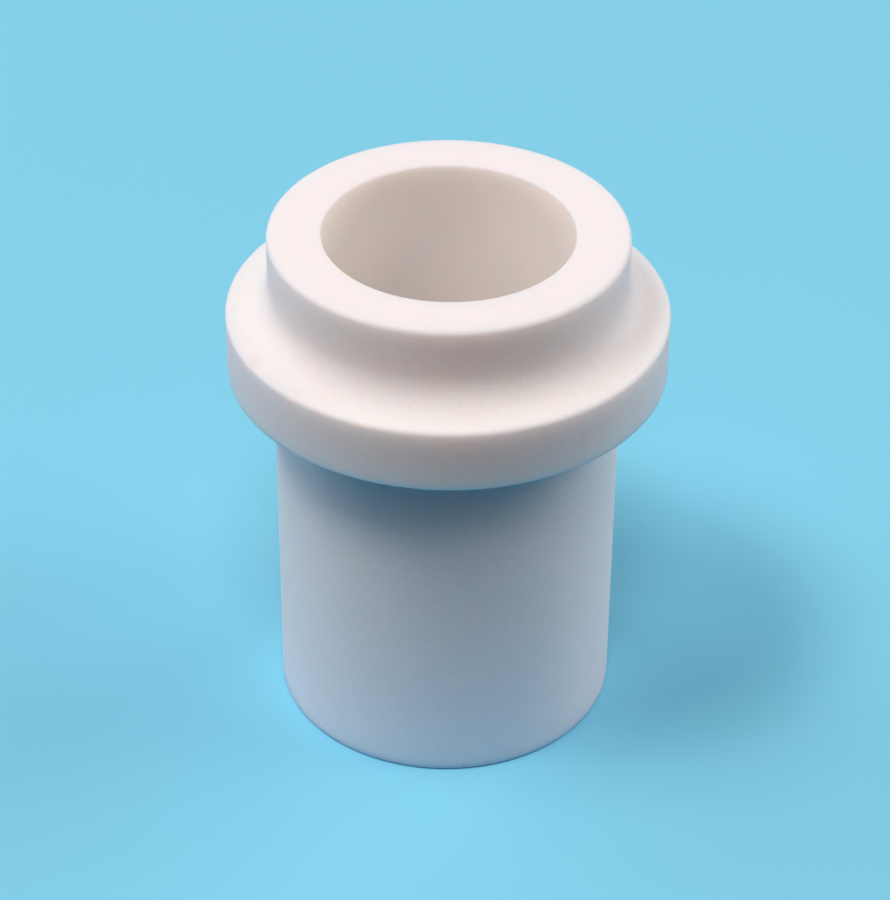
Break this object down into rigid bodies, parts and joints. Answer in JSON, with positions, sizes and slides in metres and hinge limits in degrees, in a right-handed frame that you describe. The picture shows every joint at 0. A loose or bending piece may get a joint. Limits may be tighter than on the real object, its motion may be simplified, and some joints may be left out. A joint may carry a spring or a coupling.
{
  "type": "ceramic bushing",
  "caption": "White ceramic flanged bushing: a plain bore runs through a long tube, a wide stop flange and a short neck above the flange.",
  "frame": {"origin": "centre of the foot, on the bore's axis, where the tube's end stands on the table", "axes": "+Z along the bore from the tube's foot to the neck; X and Y are alike, since the part is round"},
  "size_m": [0.04, 0.04, 0.0495],
  "materials": {
    "ceramic": "matte"
  },
  "bodies": {
    "root": {"bushing": "ceramic"}
  },
  "joints": []
}
